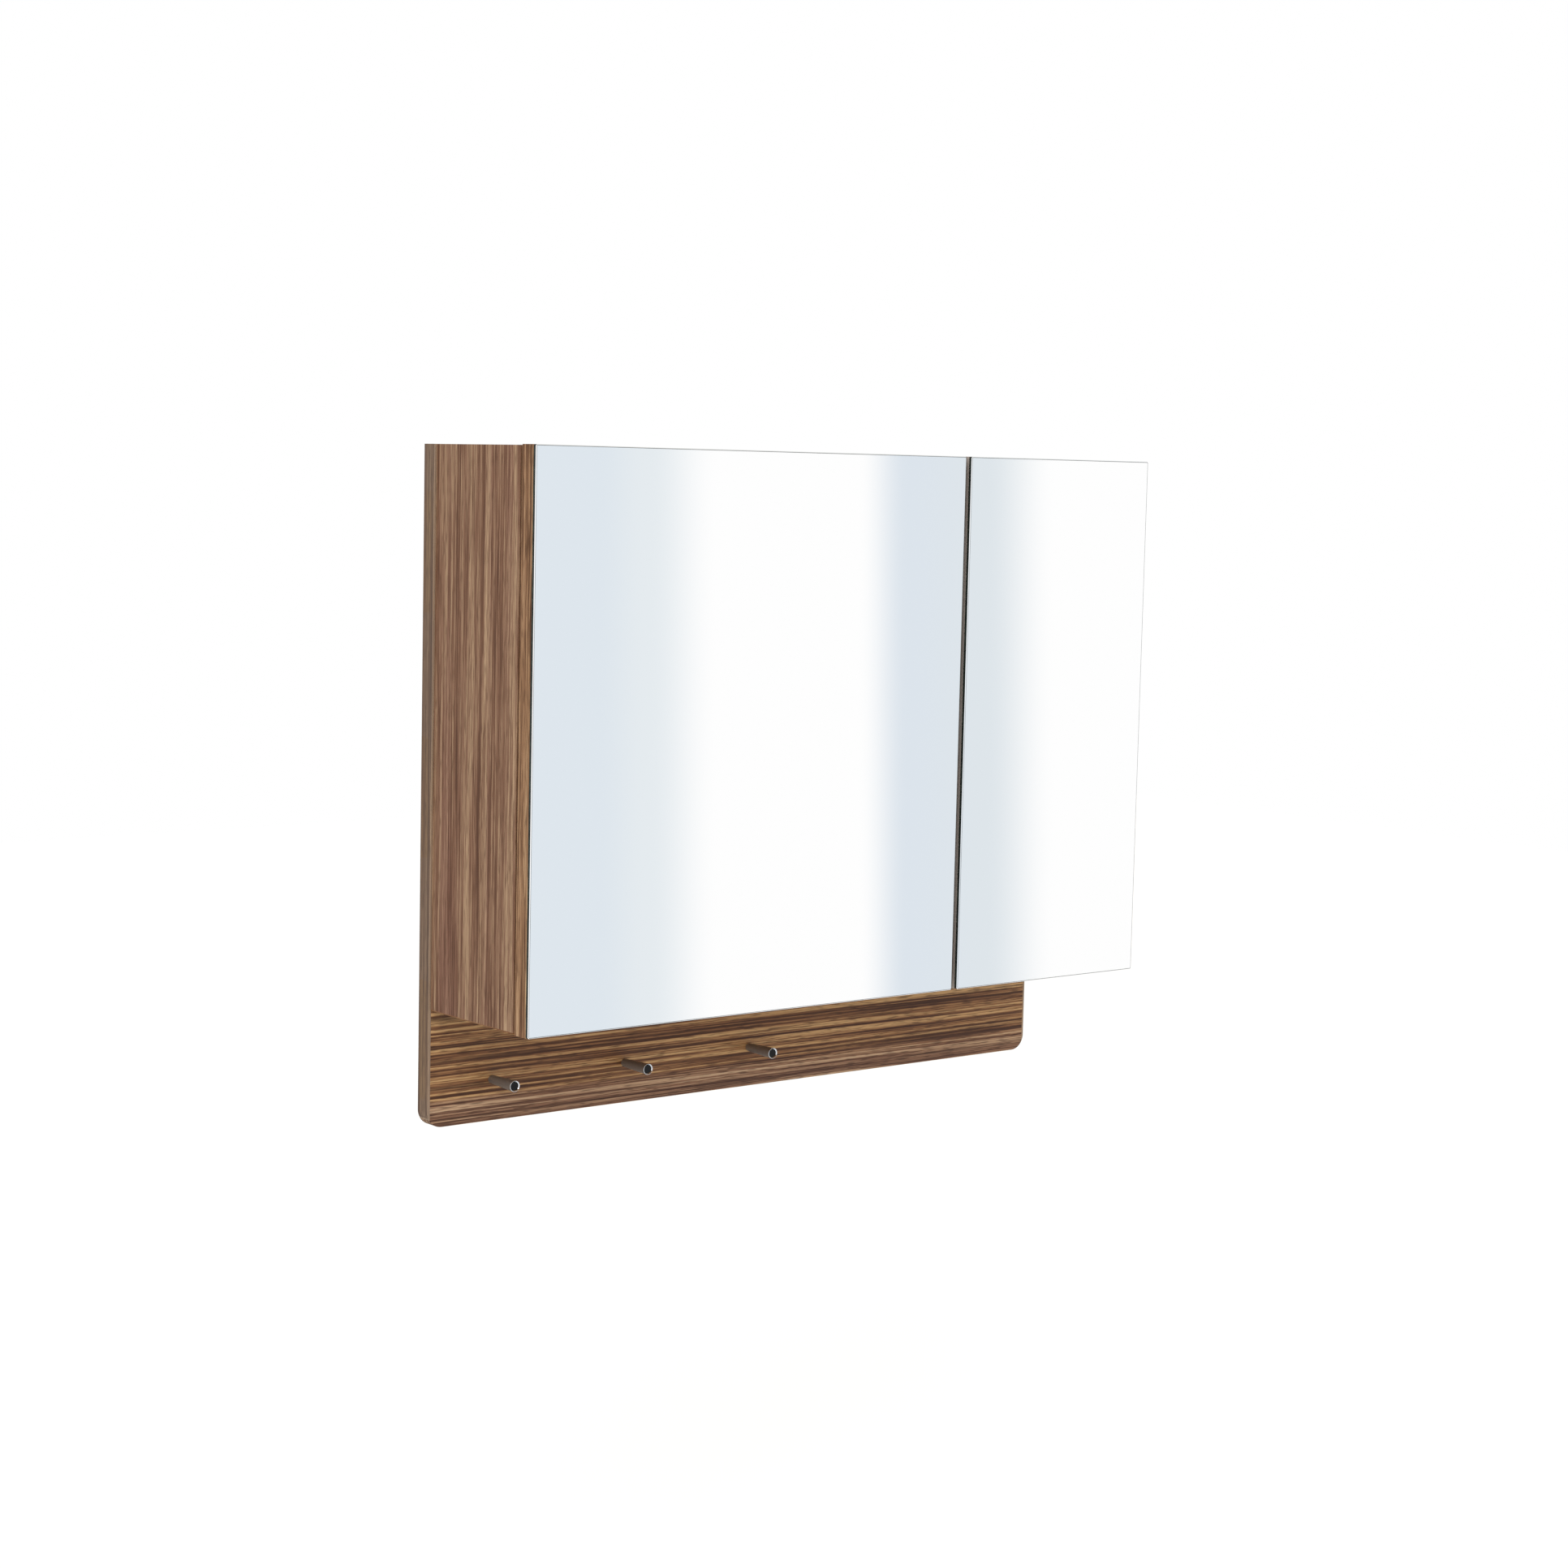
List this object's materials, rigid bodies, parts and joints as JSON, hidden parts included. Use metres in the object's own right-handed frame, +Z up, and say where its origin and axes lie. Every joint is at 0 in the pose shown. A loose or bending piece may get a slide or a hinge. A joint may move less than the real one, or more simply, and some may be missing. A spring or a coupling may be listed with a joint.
{
  "type": "hanging wall cabinet",
  "caption": "Hanging wall cabinet with hinged mirror doors over glass shelves, on a striped-veneer back panel that stands below the box and carries coat pegs.",
  "frame": {"origin": "on the wall plane, the rear face of the back panel, midway between the two hanging points", "axes": "+X to the right seen from the front, +Y into the wall, +Z up"},
  "size_m": [0.8, 0.19, 0.6728],
  "materials": {
    "striped_veneer": "striped veneer with a satin lacquer",
    "silvered_mirror": "silvered float glass with a polished arris",
    "shelf_glass": "clear float glass with polished edges",
    "peg_chrome": "polished chrome plate",
    "nickel_steel": "nickel-plated pressed steel",
    "zinc_screw": "bright zinc-plated steel",
    "beech": "plain turned beech",
    "catch_plastic": "moulded brown plastic",
    "bumper_silicone": "milky clear silicone",
    "plug_plastic": "moulded black plastic"
  },
  "bodies": {
    "cabinet": {"back_panel": "striped_veneer", "left_side": "striped_veneer", "right_side": "striped_veneer", "top_board": "striped_veneer", "bottom_board": "striped_veneer", "partition": "striped_veneer", "left_lower_shelf": "shelf_glass", "left_upper_shelf": "shelf_glass", "right_lower_shelf": "shelf_glass", "right_upper_shelf": "shelf_glass", "left_coat_peg": "peg_chrome", "middle_coat_peg": "peg_chrome", "right_coat_peg": "peg_chrome", "left_peg_plug": "plug_plastic", "middle_peg_plug": "plug_plastic", "right_peg_plug": "plug_plastic", "left_upper_hinge_plate": "nickel_steel", "left_upper_hinge_arm": "nickel_steel", "left_lower_hinge_plate": "nickel_steel", "left_lower_hinge_arm": "nickel_steel", "right_upper_hinge_plate": "nickel_steel", "right_upper_hinge_arm": "nickel_steel", "right_lower_hinge_plate": "nickel_steel", "right_lower_hinge_arm": "nickel_steel", "left_hanger_plate": "nickel_steel", "right_hanger_plate": "nickel_steel", "shelf_pins": "nickel_steel", "left_catch_magnet": "nickel_steel", "right_catch_magnet": "nickel_steel", "panel_screws": "zinc_screw", "partition_screws": "zinc_screw", "peg_screws": "zinc_screw", "hanger_screws": "zinc_screw", "hinge_plate_screws": "zinc_screw", "hinge_arm_screws": "zinc_screw", "catch_screws": "zinc_screw", "cam_locks": "zinc_screw", "cam_bolts": "zinc_screw", "dowels": "beech", "left_catch_housing": "catch_plastic", "right_catch_housing": "catch_plastic"},
    "left_door": {"left_door_board": "striped_veneer", "left_mirror": "silvered_mirror", "left_cup_screws": "zinc_screw", "left_door_bumpers": "bumper_silicone", "left_strike_plate": "nickel_steel", "left_upper_hinge_cup": "nickel_steel", "left_upper_hinge_pin": "nickel_steel", "left_lower_hinge_cup": "nickel_steel", "left_lower_hinge_pin": "nickel_steel"},
    "right_door": {"right_door_board": "striped_veneer", "right_mirror": "silvered_mirror", "right_cup_screws": "zinc_screw", "right_door_bumpers": "bumper_silicone", "right_strike_plate": "nickel_steel", "right_upper_hinge_cup": "nickel_steel", "right_upper_hinge_pin": "nickel_steel", "right_lower_hinge_cup": "nickel_steel", "right_lower_hinge_pin": "nickel_steel"}
  },
  "joints": [
    {"name": "left_door_swing", "type": "hinge", "parent": "cabinet", "child": "left_door", "pos_m": [-0.3902, -0.176, -0.217], "axis": [0, 0, -1], "range_deg": [0, 95]},
    {"name": "right_door_swing", "type": "hinge", "parent": "cabinet", "child": "right_door", "pos_m": [0.3902, -0.176, -0.217], "axis": [0, 0, 1], "range_deg": [0, 95]}
  ]
}
